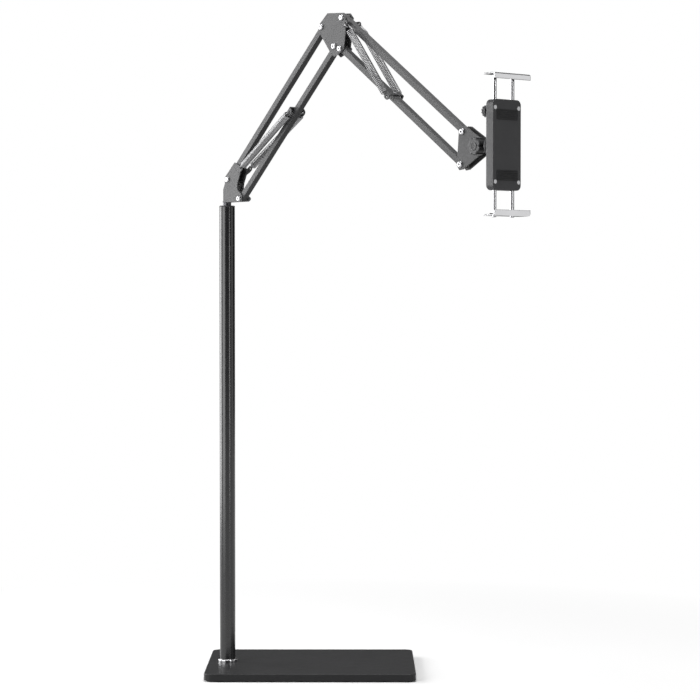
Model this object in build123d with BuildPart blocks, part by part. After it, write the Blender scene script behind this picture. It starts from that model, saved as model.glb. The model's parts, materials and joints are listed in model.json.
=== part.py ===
from build123d import *
import os
from math import cos, dist, pi, radians, sin, sqrt

# Adjustable floor stand for a tablet: a heavy base plate, a pole, a turret that
# swivels on it, two sprung parallel arms, a tilting head and a two-jaw holder.
# The origin is the centre of the underside, +X runs along the base plate to the
# right and +Y to the back. Lengths are millimetres, angles are degrees.

os.makedirs("parts", exist_ok=True)

# Clearances shared by all pieces
running_fit = 0.05  # radial, a shaft that turns or slides in its bore
hold_fit = 0.02  # radial, a shaft held in its hole
layer_gap = 0.1  # flat faces of two pieces that turn against each other
overrun = 1.0  # how far a cut runs past the face that it opens

# Base plate and the rubber mat under it
base_length = 320.0
base_depth = 235.0
base_thickness = 10.0
base_corner = 12.0
base_edge = 1.2
mat_height = 2.0
mat_inset = 4.0

# Pole, its foot and the screw that holds it
pole_inset = 30.0  # from the base plate's left edge to the pole's axis
pole_radius = 12.0
pole_wall = 2.0
pole_length = 706.0
ring_width = 3.0
ring_height = 5.0
ring_edge = 1.4
plug_height = 25.0
pole_screw_radius = 4.0
pole_screw_grip = 18.0
pole_screw_head_radius = 6.5
pole_screw_head_height = 5.0
pole_screw_socket = 3.4
pole_washer_radius = 8.0
pole_washer_thickness = 1.4
pole_sink_radius = 9.0
pole_sink_depth = 7.0

# Bearing bush in the pole's top, and the pin that turns in it
bush_flange_height = 2.0
bush_flange_edge = 0.6
bush_length = 42.0
bush_floor = 3.0
pin_radius = 6.35
pin_neck = 5.0
pin_stud_radius = 3.6
pin_rivet_radius = 4.8
pin_rivet_height = 1.8
pin_chamfer = 1.0

# Arm bars, the bushes in their ends and the plates beside them
arm_turn = 51.0  # how far the arms are swung to the front from +X
bar_side = 9.4
bar_wall = 1.0
bar_edge = 0.9
sleeve_radius = 3.5
sleeve_rim_radius = 4.5
sleeve_rim = 0.4
plate_thickness = 1.5

# Pivots in the arms' plane, as distances out from the pole and up
top_pivot_out = 10.5
top_pivot_rise = 35.0
lower_spacing_out = 30.0
lower_spacing_drop = 30.5
lower_length = 316.0
lower_angle = 42.2
elbow_out = 47.4
elbow_rise = 9.0
upper_spacing_out = 4.0
upper_spacing_drop = 44.0
upper_length = 316.0
upper_angle = -34.4
head_reach = 38.0
plate_margin = 7.0  # from a pivot to the edge of its plate, the unit of the outlines

# Lower bracket
floor_thickness = 2.0
floor_clear = 7.5
bracket_heel = 1.0

# Pivot bolts and nuts
bolt_radius = 2.5
bolt_head_radius = 4.7
bolt_head_height = 2.8
bolt_head_edge = 2.4
bolt_socket = 1.7
bolt_socket_depth = 1.6
bolt_end = 1.8
nut_radius = 4.6
nut_height = 4.6
nut_collar_radius = 3.5
nut_collar_height = 1.2

# Springs, the ears and clips that hold them
spring_radius = 5.5
spring_wire = 0.7  # radius of the wire
spring_clear = 0.2
spring_turns = 24
hook_radius = 3.6
hook_lead = 6.0
hook_gap = 0.3
eye_radius = 1.8
ear_radius = 4.0
ear_bend = 1.3
ear_flat = 4.6
bracket_ear_out = 38.5  # from the top pivot to the eye of the bracket's ear
bracket_ear_rise = 15.7
bracket_ear_length = 15.0
bracket_ear_angle = 35.0
bracket_ear_step = 2.0  # from the plate's outer face to the middle of its ear
ear_root = 3.0
elbow_ear_out = 16.5  # from the upper arm's top pivot to the eye of the elbow's ear
elbow_ear_drop = 10.0
elbow_ear_length = 13.5
lower_clip_place = 183.0  # along the bottom bar from its pivot
upper_clip_place = 136.0
clip_length = 11.0
clip_eye_drop = 4.7  # from the bar's top face
clip_screw_radius = 1.75
clip_screw_head_radius = 3.2
clip_screw_head_height = 1.8
clip_screw_edge = 0.8
clip_screw_end = 2.0

# Tilting head
tilt_bolt_radius = 3.0
tilt_head_radius = 5.8
tilt_head_height = 3.6
tilt_knob_radius = 12.0
tilt_knob_height = 12.0
tilt_knob_edge = 1.5
tilt_knob_lobe = 3.2
tilt_knob_lobes = 7
tilt_knob_skin = 2.0
knuckle_radius = 8.0
knuckle_neck = 12.0
knuckle_flange_place = 14.5
knuckle_flange_radius = 15.0
knuckle_flange = 4.0
knuckle_flange_edge = 1.0
stud_radius = 4.0
stud_root = 5.0
stud_end = 1.0
friction_washer_radius = 13.0
friction_washer = 0.8
inner_washer_radius = 8.0
inner_washer = 1.2
stud_nut_radius = 7.4
stud_nut_height = 6.0

# Holder housing and its cover
boss_radius = 15.0
boss_length = 11.0
housing_width = 50.0
housing_height = 120.0
housing_depth = 13.0
housing_corner = 7.0
housing_edge = 2.0
pocket_width = 21.0
pocket_height = 26.0
pocket_floor = 3.0
cover_thickness = 2.0
cover_edge = 0.6
cover_screw_radius = 1.5
cover_screw_head_radius = 2.9
cover_screw_length = 9.0
cover_screw_inset = 4.0
cover_screw_rise = 49.0
pad_width = 38.0
pad_band = 14.0
pad_thickness = 1.0
pad_corner = 2.0
pad_rise = 40.0

# Jaws and the rods that carry them
rod_radius = 3.0
rod_fit = 0.08
rod_spread = 16.0
rod_sink = 7.3  # from the housing's back face to the rods' axis
rod_inner_rise = 34.0  # from the holder's middle to the rods' inner ends
rod_chamfer = 0.6
jaw_rise = 94.0  # from the holder's middle to the outside of each jaw
jaw_width = 65.0
jaw_sheet = 2.0
jaw_bend = 2.4
jaw_lip = 8.0
jaw_edge = 0.6
tablet_gap = 8.0  # from the housing's pads to the inside of the jaws' lips
liner_thickness = 1.2
liner_setback = 1.2
jaw_screw_radius = 1.5
jaw_screw_length = 9.0
jaw_screw_head_radius = 3.0
jaw_screw_head_height = 1.7
jaw_screw_edge = 0.7

# Thumb screws that clamp the rods
lock_rise = 45.0
lock_radius = 2.0
lock_knob_radius = 8.0
lock_knob_height = 7.0
lock_knob_edge = 0.6
lock_knob_grooves = 12
lock_groove_radius = 1.1
lock_neck_radius = 3.6
lock_neck = 3.0
lock_tip_gap = 0.2

# Heights and places that follow from these sizes
base_top = mat_height + base_thickness
pole_x = -base_length / 2 + pole_inset
pole_top = base_top + pole_length
bush_top = pole_top + bush_flange_height
floor_height = bush_top + pin_neck
tube_bore = pole_radius - pole_wall
half_bar = bar_side / 2
plate_inner = half_bar + sleeve_rim + layer_gap
plate_outer = plate_inner + plate_thickness
spring_side = plate_outer + spring_clear + spring_radius
bracket_ear_side = plate_outer + bracket_ear_step
coil_radius = spring_radius - spring_wire

# The arms' plane: out from the pole, up, and to the near side
arm_out = Vector(cos(radians(arm_turn)), -sin(radians(arm_turn)), 0)
arm_side = Vector(-sin(radians(arm_turn)), -cos(radians(arm_turn)), 0)
side_axis = Axis((0, 0, 0), arm_side)
out_axis = Axis((0, 0, 0), arm_out)


def step(place, out, up):
    """Return the place that lies out and up from another one in the arms' plane."""
    return place[0] + out, place[1] + up


def along(place, angle, length):
    """Return the place at a length and an angle from another one in the arms' plane."""
    return step(place, length * cos(radians(angle)), length * sin(radians(angle)))


def arm_point(place, side=0):
    """Return the point in space of a place in the arms' plane, set off to one side."""
    return Vector(pole_x, 0, place[1]) + arm_out * place[0] + arm_side * side


def arm_layer(side):
    """Return the plane parallel to the arms whose local x is out and local y is up."""
    return Plane(origin=arm_point((0, 0), side), x_dir=arm_out, z_dir=arm_side)


def arm_heading(angle):
    """Return the direction in space of an angle in the arms' plane."""
    return arm_out * cos(radians(angle)) + Vector(0, 0, sin(radians(angle)))


def holder_layer(out):
    """Return the upright plane across the head, its local x to the far side, y up."""
    return Plane(origin=arm_point((out, tilt_pivot[1])), x_dir=-arm_side, z_dir=arm_out)


def save(piece, name):
    """Label a finished piece and write it under its own name."""
    piece.part.label = name
    export_step(piece.part, f"parts/{name}.step")


# Pivots of the lower arm, the elbow, the upper arm and the head
lower_top_pivot = (top_pivot_out, floor_height + top_pivot_rise)
lower_bottom_pivot = step(lower_top_pivot, lower_spacing_out, -lower_spacing_drop)
elbow_top_pivot = along(lower_top_pivot, lower_angle, lower_length)
elbow_bottom_pivot = along(lower_bottom_pivot, lower_angle, lower_length)
upper_top_pivot = step(elbow_top_pivot, elbow_out, elbow_rise)
upper_bottom_pivot = step(upper_top_pivot, -upper_spacing_out, -upper_spacing_drop)
head_top_pivot = along(upper_top_pivot, upper_angle, upper_length)
head_bottom_pivot = along(upper_bottom_pivot, upper_angle, upper_length)
head_middle = (
    (head_top_pivot[0] + head_bottom_pivot[0]) / 2,
    (head_top_pivot[1] + head_bottom_pivot[1]) / 2,
)
tilt_pivot = step(head_middle, head_reach, 0)

# Eyes that hold the springs' hooks
bracket_eye = step(lower_top_pivot, bracket_ear_out, bracket_ear_rise)
elbow_eye = step(upper_top_pivot, elbow_ear_out, -elbow_ear_drop)
clip_rise = half_bar - clip_eye_drop
lower_clip_foot = along(lower_bottom_pivot, lower_angle, lower_clip_place)
upper_clip_foot = along(upper_bottom_pivot, upper_angle, upper_clip_place)
lower_clip_eye = along(lower_clip_foot, lower_angle + 90, clip_rise)
upper_clip_eye = along(upper_clip_foot, upper_angle + 90, clip_rise)


# Base plate
with BuildPart() as base_plate:
    with BuildSketch(Plane.XY.offset(mat_height)):
        RectangleRounded(base_length, base_depth, base_corner)
    extrude(amount=base_thickness)
    fillet(base_plate.faces().sort_by(Axis.Z)[-1].edges(), base_edge)
    with BuildSketch(Plane((pole_x, 0, mat_height))):
        Circle(pole_sink_radius)
    extrude(amount=pole_sink_depth, mode=Mode.SUBTRACT)
    with BuildSketch(Plane((pole_x, 0, mat_height))):
        Circle(pole_screw_radius + hold_fit)
    extrude(amount=base_thickness + overrun, mode=Mode.SUBTRACT)
save(base_plate, "base_plate")

with BuildPart() as base_mat:
    with BuildSketch():
        RectangleRounded(
            base_length - 2 * mat_inset, base_depth - 2 * mat_inset, base_corner - mat_inset
        )
        with Locations((pole_x, 0)):
            Circle(pole_sink_radius, mode=Mode.SUBTRACT)
    extrude(amount=mat_height)
save(base_mat, "base_mat")

# Screw from below that holds the pole
sink_roof = mat_height + pole_sink_depth
screw_head_top = sink_roof - pole_washer_thickness
with BuildPart() as pole_screw_washer:
    with BuildSketch(Plane((pole_x, 0, screw_head_top))):
        Circle(pole_washer_radius)
        Circle(pole_screw_radius + hold_fit, mode=Mode.SUBTRACT)
    extrude(amount=pole_washer_thickness)
save(pole_screw_washer, "pole_screw_washer")

with BuildPart() as pole_screw:
    with BuildSketch(Plane((pole_x, 0, screw_head_top))):
        Circle(pole_screw_head_radius)
    extrude(amount=-pole_screw_head_height)
    with BuildSketch(Plane((pole_x, 0, screw_head_top))):
        Circle(pole_screw_radius)
    extrude(amount=base_top + pole_screw_grip - screw_head_top)
    chamfer(pole_screw.edges().sort_by(Axis.Z)[-1], pin_chamfer)
    with BuildSketch(Plane((pole_x, 0, screw_head_top - pole_screw_head_height))):
        RegularPolygon(pole_screw_socket, 6)
    extrude(amount=pole_screw_head_height / 2, mode=Mode.SUBTRACT)
save(pole_screw, "pole_screw")

# Bright ring round the pole's foot
with BuildPart() as foot_ring:
    with BuildSketch(Plane((pole_x, 0, base_top))):
        Circle(pole_radius + ring_width)
        Circle(pole_radius + hold_fit, mode=Mode.SUBTRACT)
    extrude(amount=ring_height)
    rims = foot_ring.edges().filter_by(GeomType.CIRCLE).group_by(Axis.Z)[-1]
    fillet(rims.sort_by(SortBy.RADIUS)[-1], ring_edge)
save(foot_ring, "foot_ring")

# Pole: tube, foot plug and top bush
with BuildPart() as pole_tube:
    with BuildSketch(Plane((pole_x, 0, base_top))):
        Circle(pole_radius)
        Circle(tube_bore, mode=Mode.SUBTRACT)
    extrude(amount=pole_length)
save(pole_tube, "pole_tube")

with BuildPart() as pole_foot_plug:
    with BuildSketch(Plane((pole_x, 0, base_top))):
        Circle(tube_bore - hold_fit)
        Circle(pole_screw_radius + hold_fit, mode=Mode.SUBTRACT)
    extrude(amount=plug_height)
save(pole_foot_plug, "pole_foot_plug")

with BuildPart() as pole_top_bush:
    with BuildSketch(Plane((pole_x, 0, pole_top))):
        Circle(pole_radius)
    extrude(amount=bush_flange_height)
    fillet(pole_top_bush.edges().sort_by(Axis.Z)[-1], bush_flange_edge)
    with BuildSketch(Plane((pole_x, 0, pole_top))):
        Circle(tube_bore - hold_fit)
    extrude(amount=-bush_length)
    with BuildSketch(Plane((pole_x, 0, bush_top + overrun))):
        Circle(pin_radius + running_fit)
    extrude(
        amount=-(bush_length + bush_flange_height + overrun - bush_floor),
        mode=Mode.SUBTRACT,
    )
save(pole_top_bush, "pole_top_bush")

# Swivel pin, riveted through the bracket's floor
pin_foot = pole_top - bush_length + bush_floor + layer_gap
with BuildPart() as swivel_pin:
    with BuildSketch(Plane((pole_x, 0, pin_foot))):
        Circle(pin_radius)
    extrude(amount=floor_height - pin_foot)
    chamfer(swivel_pin.edges().sort_by(Axis.Z)[0], pin_chamfer)
    with BuildSketch(Plane((pole_x, 0, floor_height))):
        Circle(pin_stud_radius)
    extrude(amount=floor_thickness)
    with BuildSketch(Plane((pole_x, 0, floor_height + floor_thickness))):
        Circle(pin_rivet_radius)
    extrude(amount=pin_rivet_height)
    chamfer(swivel_pin.edges().sort_by(Axis.Z)[-1], pin_chamfer)
save(swivel_pin, "swivel_pin")


# Sheet plates of the arms
def add_plate(corners, side):
    """Add one flat side plate to the part that is being built."""
    with BuildSketch(arm_layer(side * plate_inner)) as plate:
        with BuildLine():
            Polyline(*corners, close=True)
        make_face()
    extrude(plate.sketch, amount=side * plate_thickness)


def add_ear(plate, eye, angle, length, tab, side):
    """Add an ear that leaves the plate at an angle and steps out to the spring."""
    heading = arm_heading(angle)
    plate_middle = side * (plate_inner + plate_thickness / 2)
    tab = side * tab
    ear_plane = Plane(arm_point(eye), x_dir=heading, z_dir=heading.cross(arm_side))
    with BuildSketch(ear_plane) as ear:
        with BuildLine():
            FilletPolyline(
                (-length, plate_middle),
                (ear_root - length, plate_middle),
                (-ear_flat, tab),
                (ear_radius, tab),
                radius=ear_bend,
            )
        trace(line_width=plate_thickness)
    extrude(ear.sketch, amount=ear_radius, both=True)
    tip_axis = Axis((0, 0, 0), heading)
    ear_edges = plate.edges().filter_by(side_axis)
    tips = [
        edge
        for edge in ear_edges.sort_by(tip_axis)[-4:]
        if abs(edge.center().dot(arm_side) - arm_point(eye, tab).dot(arm_side)) < ear_flat
        and edge.center().dot(heading) > arm_point(eye).dot(heading)
    ]
    fillet(tips, ear_radius - hold_fit)


def drill(places, radius, reach):
    """Cut round holes through the part that is being built, across the arms."""
    with BuildSketch(arm_layer(0)) as bores:
        with Locations(*places):
            Circle(radius)
    extrude(bores.sketch, amount=reach, both=True, mode=Mode.SUBTRACT)


def outline(corners):
    """Return outline points, each a pivot and shares of the plates' margin."""
    return [
        step(pivot, out * plate_margin, up * plate_margin) for pivot, (out, up) in corners
    ]


# Lower bracket: floor, two side plates and their ears
bracket_foot = (-bracket_heel, floor_height)
bracket_toe = (lower_bottom_pivot[0] + plate_margin, floor_height)
bracket_back_shares = (
    (lower_top_pivot, (-1.64, -2.14)),
    (lower_top_pivot, (-1.0, -0.86)),
    (lower_top_pivot, (-1.0, 0.5)),
    (lower_top_pivot, (2.6, 3.6)),
    (lower_top_pivot, (4.4, 2.8)),
    (lower_top_pivot, (4.8, 1.3)),
    (lower_top_pivot, (3.7, -0.9)),
    (lower_top_pivot, (3.5, -1.9)),
    (lower_bottom_pivot, (-0.6, 1.9)),
    (lower_bottom_pivot, (0.36, 1.29)),
    (lower_bottom_pivot, (1.1, 0.5)),
)
with BuildPart() as lower_bracket:
    for side in (1, -1):
        add_plate([bracket_foot, *outline(bracket_back_shares), bracket_toe], side)
    with BuildSketch(Plane(arm_point((0, floor_height)), x_dir=arm_out, z_dir=(0, 0, 1))):
        Circle(plate_outer)
        floor_end = lower_bottom_pivot[0] - floor_clear
        Rectangle(floor_end, 2 * plate_outer, align=(Align.MIN, Align.CENTER))
    extrude(amount=floor_thickness)
    for side in (1, -1):
        add_ear(
            lower_bracket,
            bracket_eye,
            bracket_ear_angle,
            bracket_ear_length,
            bracket_ear_side,
            side,
        )
    drill([lower_top_pivot, lower_bottom_pivot], bolt_radius + hold_fit, plate_outer + overrun)
    drill([bracket_eye], eye_radius, spring_side + plate_thickness)
    with BuildSketch(Plane((pole_x, 0, floor_height - overrun))):
        Circle(pin_stud_radius + hold_fit)
    extrude(amount=floor_thickness + 2 * overrun, mode=Mode.SUBTRACT)
save(lower_bracket, "lower_bracket")

# Elbow plates
elbow_corner_shares = (
    (elbow_top_pivot, (-0.86, 0.43)),
    (elbow_top_pivot, (2.07, 2.64)),
    (upper_top_pivot, (0.71, 0.93)),
    (upper_top_pivot, (1.29, 0.29)),
    (upper_top_pivot, (1.21, -3.43)),
    (upper_bottom_pivot, (1.21, -0.29)),
    (upper_bottom_pivot, (-0.43, -1.07)),
    (elbow_bottom_pivot, (0.0, -2.2)),
    (elbow_bottom_pivot, (-1.14, -1.36)),
    (elbow_top_pivot, (-0.57, -1.21)),
)
elbow_pivots = [elbow_top_pivot, elbow_bottom_pivot, upper_top_pivot, upper_bottom_pivot]


def make_elbow_plate(name, side):
    """Make one of the two elbow plates with its spring ear."""
    with BuildPart() as elbow_plate:
        add_plate(outline(elbow_corner_shares), side)
        add_ear(elbow_plate, elbow_eye, 0, elbow_ear_length, spring_side, side)
        drill(elbow_pivots, bolt_radius + hold_fit, plate_outer + overrun)
        drill([elbow_eye], eye_radius, spring_side + plate_thickness)
    save(elbow_plate, name)


make_elbow_plate("elbow_plate_near", 1)
make_elbow_plate("elbow_plate_far", -1)

# Head plates
head_corner_shares = (
    (head_top_pivot, (-1.0, 0.2)),
    (head_top_pivot, (-0.3, 1.1)),
    (head_top_pivot, (0.8, 1.0)),
    (tilt_pivot, (0.5, 1.3)),
    (tilt_pivot, (1.2, 0.5)),
    (tilt_pivot, (1.2, -0.5)),
    (tilt_pivot, (0.5, -1.3)),
    (head_bottom_pivot, (0.8, -1.0)),
    (head_bottom_pivot, (-0.3, -1.1)),
    (head_bottom_pivot, (-1.0, -0.2)),
)


def make_head_plate(name, side):
    """Make one of the two head plates."""
    with BuildPart() as head_plate:
        add_plate(outline(head_corner_shares), side)
        drill([head_top_pivot, head_bottom_pivot], bolt_radius + hold_fit, plate_outer + overrun)
        drill([tilt_pivot], tilt_bolt_radius + hold_fit, plate_outer + overrun)
    save(head_plate, name)


make_head_plate("head_plate_near", 1)
make_head_plate("head_plate_far", -1)


# Bars with a pivot sleeve in each end
def make_bar(name, start, angle, length, clip_place=None):
    """Make one square tube of an arm, with the screw hole of its spring clip."""
    end = along(start, angle, length)
    heading = arm_heading(angle)
    with BuildPart() as bar:
        with BuildSketch(arm_layer(-half_bar)):
            with Locations(along(start, angle, length / 2)):
                SlotCenterToCenter(length, bar_side, rotation=angle)
        extrude(amount=bar_side)
        rims = bar.edges().filter_by(Axis((0, 0, 0), heading))
        fillet(rims, bar_edge)
        bore_start = along(start, angle, -bar_side)
        with BuildSketch(Plane(arm_point(bore_start), x_dir=arm_side, z_dir=heading)):
            Rectangle(bar_side - 2 * bar_wall, bar_side - 2 * bar_wall)
        extrude(amount=length + 2 * bar_side, mode=Mode.SUBTRACT)
        drill([start, end], sleeve_radius + hold_fit, bar_side)
        if clip_place is not None:
            foot = arm_point(along(start, angle, clip_place))
            with BuildSketch(Plane(foot, x_dir=heading, z_dir=heading.cross(-arm_side))):
                Circle(clip_screw_radius + hold_fit)
            extrude(amount=bar_side, mode=Mode.SUBTRACT)
    save(bar, name)


def make_sleeves(name, start, angle, length):
    """Make the two flanged pivot sleeves in the ends of one bar."""
    ends = [start, along(start, angle, length)]
    with BuildPart() as sleeves:
        with BuildSketch(arm_layer(-half_bar)):
            with Locations(*ends):
                Circle(sleeve_radius)
        extrude(amount=bar_side)
        for side in (1, -1):
            with BuildSketch(arm_layer(side * half_bar)):
                with Locations(*ends):
                    Circle(sleeve_rim_radius)
            extrude(amount=side * sleeve_rim)
        drill(ends, bolt_radius + running_fit, bar_side)
    save(sleeves, name)


make_bar("lower_arm_top_bar", lower_top_pivot, lower_angle, lower_length)
make_bar(
    "lower_arm_bottom_bar", lower_bottom_pivot, lower_angle, lower_length, lower_clip_place
)
make_bar("upper_arm_top_bar", upper_top_pivot, upper_angle, upper_length)
make_bar(
    "upper_arm_bottom_bar", upper_bottom_pivot, upper_angle, upper_length, upper_clip_place
)
make_sleeves("lower_top_bar_bushes", lower_top_pivot, lower_angle, lower_length)
make_sleeves("lower_bottom_bar_bushes", lower_bottom_pivot, lower_angle, lower_length)
make_sleeves("upper_top_bar_bushes", upper_top_pivot, upper_angle, upper_length)
make_sleeves("upper_bottom_bar_bushes", upper_bottom_pivot, upper_angle, upper_length)


# Bolts and nuts through the plates
def make_bolts(name, places):
    """Make the pivot bolts of one pair of plates, heads on the near side."""
    grip = plate_outer + nut_height + nut_collar_height + bolt_end
    with BuildPart() as bolts:
        with BuildSketch(arm_layer(plate_outer)):
            with Locations(*places):
                Circle(bolt_head_radius)
        extrude(amount=bolt_head_height)
        rims = bolts.edges().filter_by(GeomType.CIRCLE).group_by(side_axis)[-1]
        fillet(rims, bolt_head_edge)
        with BuildSketch(arm_layer(plate_outer)):
            with Locations(*places):
                Circle(bolt_radius)
        extrude(amount=-(plate_outer + grip))
        with BuildSketch(arm_layer(plate_outer + bolt_head_height)):
            with Locations(*places):
                RegularPolygon(bolt_socket, 6)
        extrude(amount=-bolt_socket_depth, mode=Mode.SUBTRACT)
    save(bolts, name)


def make_nuts(name, places):
    """Make the lock nuts on the far side, each with its round collar."""
    with BuildPart() as nuts:
        with BuildSketch(arm_layer(-plate_outer)):
            with Locations(*places):
                RegularPolygon(nut_radius, 6)
        extrude(amount=-nut_height)
        with BuildSketch(arm_layer(-plate_outer - nut_height)):
            with Locations(*places):
                Circle(nut_collar_radius)
        extrude(amount=-nut_collar_height)
        drill(places, bolt_radius + hold_fit, plate_outer + nut_height + nut_collar_height + overrun)
    save(nuts, name)


for group, places in (
    ("lower_pivot", [lower_top_pivot, lower_bottom_pivot]),
    ("elbow", elbow_pivots),
    ("head", [head_top_pivot, head_bottom_pivot]),
):
    make_bolts(f"{group}_bolts", places)
    make_nuts(f"{group}_nuts", places)


# Spring clips: a strip across the bar with a turned-down tab and eye at each end
def make_clip(name, foot, angle):
    """Make the clip that sits on a bar and takes the hooks of two springs."""
    heading = arm_heading(angle)
    across = Plane(arm_point(foot), x_dir=-arm_side, z_dir=heading)
    rise = half_bar + plate_thickness / 2
    eye = along(foot, angle + 90, clip_rise)
    with BuildPart() as clip:
        with BuildSketch(across):
            with BuildLine():
                FilletPolyline(
                    (-spring_side, clip_rise - ear_radius),
                    (-spring_side, rise),
                    (spring_side, rise),
                    (spring_side, clip_rise - ear_radius),
                    radius=ear_bend,
                )
            trace(line_width=plate_thickness)
        extrude(amount=clip_length / 2, both=True)
        up_axis = Axis((0, 0, 0), arm_heading(angle + 90))
        tips = clip.edges().filter_by(side_axis).group_by(up_axis)[0]
        fillet(tips, ear_radius - hold_fit)
        drill([eye], eye_radius, spring_side + plate_thickness)
        with BuildSketch(Plane(arm_point(foot), x_dir=heading, z_dir=heading.cross(-arm_side))):
            Circle(clip_screw_radius + hold_fit)
        extrude(amount=rise + plate_thickness, mode=Mode.SUBTRACT)
    save(clip, name)


def make_clip_screw(name, foot, angle):
    """Make the screw that holds a clip on its bar."""
    heading = arm_heading(angle)
    seat = along(foot, angle + 90, half_bar + plate_thickness)
    up_axis = Axis((0, 0, 0), arm_heading(angle + 90))
    screw_plane = Plane(arm_point(seat), x_dir=heading, z_dir=arm_heading(angle + 90))
    with BuildPart() as clip_screw:
        with BuildSketch(screw_plane):
            Circle(clip_screw_head_radius)
        extrude(amount=clip_screw_head_height)
        fillet(clip_screw.edges().sort_by(up_axis)[-1], clip_screw_edge)
        with BuildSketch(screw_plane):
            Circle(clip_screw_radius)
        extrude(amount=-(plate_thickness + bar_wall + clip_screw_end))
        with BuildSketch(screw_plane.offset(clip_screw_head_height)):
            RegularPolygon(clip_screw_radius, 6)
        extrude(amount=-clip_screw_head_height / 2, mode=Mode.SUBTRACT)
    save(clip_screw, name)


make_clip("lower_spring_clip", lower_clip_foot, lower_angle)
make_clip("upper_spring_clip", upper_clip_foot, upper_angle)
make_clip_screw("lower_clip_screw", lower_clip_foot, lower_angle)
make_clip_screw("upper_clip_screw", upper_clip_foot, upper_angle)


# Tension springs with a hook at each end
def biarc(start, start_heading, end, end_heading):
    """Join two points by two arcs that are tangent to each other and to both headings."""
    chord = end - start
    pull = chord.dot(start_heading + end_heading)
    spread = 2 * (1 - start_heading.dot(end_heading))
    reach = (sqrt(pull**2 + spread * chord.dot(chord)) - pull) / spread
    first_corner = start + start_heading * reach
    second_corner = end - end_heading * reach
    joint = (first_corner + second_corner) / 2
    TangentArc(start, joint, tangent=start_heading)
    TangentArc(joint, end, tangent=(second_corner - first_corner).normalized())


def spring_route(first_eye, first_side, last_eye, side):
    """Return points and headings along one spring's wire, from eye to eye."""
    start = arm_point(first_eye, side * first_side)
    end = arm_point(last_eye, side * spring_side)
    axis = (end - start).normalized()
    third = axis.cross(arm_side).normalized()
    across = third.cross(axis)
    length = (end - start).length
    hook_foot = eye_radius - spring_wire - hook_gap
    hook_middle = hook_foot + hook_radius
    coil_start = hook_middle + hook_lead
    coil_length = length - 2 * coil_start
    rise = coil_length / (2 * pi * spring_turns)
    route = [
        (start + axis * (hook_middle + hook_radius), across),
        (start + axis * hook_middle + across * hook_radius, -axis),
        (start + axis * hook_foot, -across),
        (start + axis * hook_middle - across * hook_radius, axis),
    ]
    for half in range(2 * spring_turns + 1):
        turn = half * pi
        middle = start + axis * (coil_start + rise * turn)
        spoke = third * sin(turn) - across * cos(turn)
        heading = axis * rise + (third * cos(turn) + across * sin(turn)) * coil_radius
        route.append((middle + spoke * coil_radius, heading.normalized()))
    route += [
        (end - axis * hook_middle - across * hook_radius, axis),
        (end - axis * hook_foot, across),
        (end - axis * hook_middle + across * hook_radius, -axis),
        (end - axis * (hook_middle + hook_radius), -across),
    ]
    return route


def least_gap(wire_line):
    """Return the least clear distance between parts of the wire a curl or more apart."""
    steps = 5
    points = []
    for edge in wire_line.edges():
        points += [tuple(edge @ (count / steps)) for count in range(steps)]
    skip = 3 * steps
    nearest = min(
        dist(one, other)
        for place, one in enumerate(points)
        for other in points[place + skip :]
    )
    return nearest - 2 * spring_wire


def make_spring(name, first_eye, first_side, last_eye, side):
    """Make one tension spring and print its least gap to itself."""
    route = spring_route(first_eye, first_side, last_eye, side)
    with BuildPart() as spring:
        with BuildLine() as wire_line:
            for (start, start_heading), (end, end_heading) in zip(route, route[1:]):
                biarc(start, start_heading, end, end_heading)
        with BuildSketch(Plane(route[0][0], z_dir=route[0][1])):
            Circle(spring_wire)
        sweep()
    print(name, "least gap to itself", round(least_gap(wire_line.line), 2), "mm")
    save(spring, name)


for side, word in ((1, "near"), (-1, "far")):
    make_spring(f"lower_spring_{word}", bracket_eye, bracket_ear_side, lower_clip_eye, side)
    make_spring(f"upper_spring_{word}", elbow_eye, spring_side, upper_clip_eye, side)


# Tilt bolt, its knob and the knuckle that it clamps
knob_base = plate_outer + layer_gap
with BuildPart() as tilt_bolt:
    with BuildSketch(arm_layer(-plate_outer)):
        with Locations(tilt_pivot):
            RegularPolygon(tilt_head_radius, 6)
    extrude(amount=-tilt_head_height)
    with BuildSketch(arm_layer(-plate_outer)):
        with Locations(tilt_pivot):
            Circle(tilt_bolt_radius)
    extrude(amount=plate_outer + knob_base + tilt_knob_height - tilt_knob_skin - layer_gap)
save(tilt_bolt, "tilt_bolt")

with BuildPart() as tilt_knob:
    with BuildSketch(arm_layer(knob_base)):
        with Locations(tilt_pivot):
            Circle(tilt_knob_radius)
            with PolarLocations(tilt_knob_radius + tilt_knob_lobe / 2, tilt_knob_lobes):
                Circle(tilt_knob_lobe, mode=Mode.SUBTRACT)
    extrude(amount=tilt_knob_height)
    fillet(tilt_knob.faces().sort_by(side_axis)[-1].edges(), tilt_knob_edge)
    with BuildSketch(arm_layer(knob_base)):
        with Locations(tilt_pivot):
            Circle(tilt_bolt_radius + running_fit)
    extrude(amount=tilt_knob_height - tilt_knob_skin, mode=Mode.SUBTRACT)
save(tilt_knob, "tilt_knob")

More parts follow.
